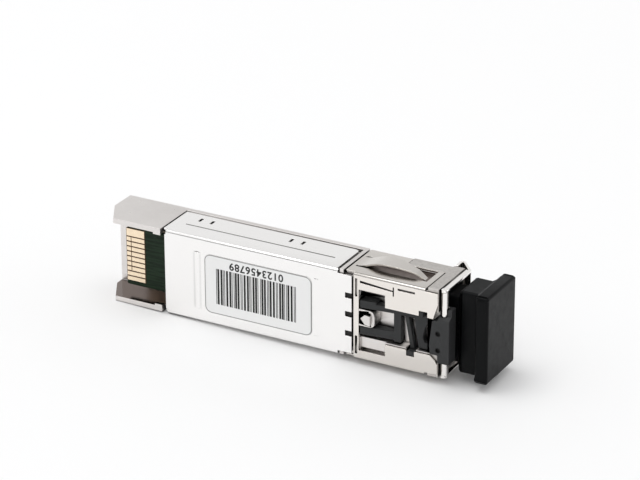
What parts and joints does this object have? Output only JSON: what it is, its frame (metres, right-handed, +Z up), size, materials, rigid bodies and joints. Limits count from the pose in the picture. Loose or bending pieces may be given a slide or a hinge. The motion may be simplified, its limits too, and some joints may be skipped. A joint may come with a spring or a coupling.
{
  "type": "optical transceiver module",
  "caption": "Pluggable duplex optical transceiver with a sheet-metal cover, edge connector, latch boss, release slider, bail lever and fitted dust plug.",
  "frame": {"origin": "centre of the footprint of the whole object, at the height of its lowest point, with the module on one narrow side", "axes": "+X from the edge connector to the optical ports, +Y from the label side to the top wall, +Z up across the width"},
  "size_m": [0.063, 0.0112, 0.0154],
  "materials": {
    "die_cast": "nickel-plated zinc die casting, satin and slightly grainy",
    "cover_steel": "bright nickel-plated sheet, satin",
    "collar_steel": "bright plated spring sheet",
    "bail_steel": "polished plated sheet",
    "label_paper": "matt white printed film",
    "solder_mask": "dark green solder mask",
    "gold": "hard gold plating",
    "black_nylon": "moulded, fine satin grain",
    "plug_rubber": "moulded, satin black",
    "port_plastic": "moulded, dark grey",
    "can_steel": "machined, bright",
    "chip_black": "moulded epoxy",
    "ceramic": "ceramic with tinned ends",
    "polyimide": "amber film",
    "soft_pad": "soft filled silicone"
  },
  "bodies": {
    "chassis": {"bottom_cover": "cover_steel", "circuit_board": "solder_mask", "clock_crystal": "can_steel", "contact_bottom_1": "gold", "contact_bottom_10": "gold", "contact_bottom_2": "gold", "contact_bottom_3": "gold", "contact_bottom_4": "gold", "contact_bottom_5": "gold", "contact_bottom_6": "gold", "contact_bottom_7": "gold", "contact_bottom_8": "gold", "contact_bottom_9": "gold", "contact_top_1": "gold", "contact_top_10": "gold", "contact_top_2": "gold", "contact_top_3": "gold", "contact_top_4": "gold", "contact_top_5": "gold", "contact_top_6": "gold", "contact_top_7": "gold", "contact_top_8": "gold", "contact_top_9": "gold", "coupling_capacitor_1": "ceramic", "coupling_capacitor_2": "ceramic", "coupling_capacitor_3": "ceramic", "coupling_capacitor_4": "ceramic", "cover_gasket": "soft_pad", "emi_collar": "collar_steel", "filter_inductor_1": "chip_black", "filter_inductor_2": "chip_black", "housing": "die_cast", "laser_driver_chip": "chip_black", "lc_receptacle": "port_plastic", "memory_chip": "chip_black", "microcontroller_chip": "chip_black", "optics_retainer": "die_cast", "power_switch_chip": "chip_black", "receiver_amplifier_chip": "chip_black", "receiver_barrel": "can_steel", "receiver_can": "can_steel", "receiver_flex": "polyimide", "serial_label": "label_paper", "thermal_pad": "soft_pad", "transmitter_barrel": "can_steel", "transmitter_can": "can_steel", "transmitter_flex": "polyimide"},
    "slider": {"release_slider": "black_nylon", "return_spring": "black_nylon"},
    "bail": {"bail": "bail_steel"},
    "plug": {"dust_plug": "plug_rubber"}
  },
  "joints": [
    {"name": "release_slide", "type": "slide", "parent": "chassis", "child": "slider", "axis": [1, 0, 0], "range_m": [0, 0.0006], "deforming": ["return_spring"]},
    {"name": "bail_hinge", "type": "hinge", "parent": "slider", "child": "bail", "pos_m": [0.02488, -0.00419, 0.0077], "axis": [0, 0, -1], "range_deg": [0, 15]},
    {"name": "dust_plug_slide", "type": "slide", "parent": "chassis", "child": "plug", "axis": [1, 0, 0], "range_m": [0, 0.012]}
  ],
  "couplings": [
    {"joint": "bail_hinge", "follows": "release_slide", "rad_per_m": 435.9}
  ]
}
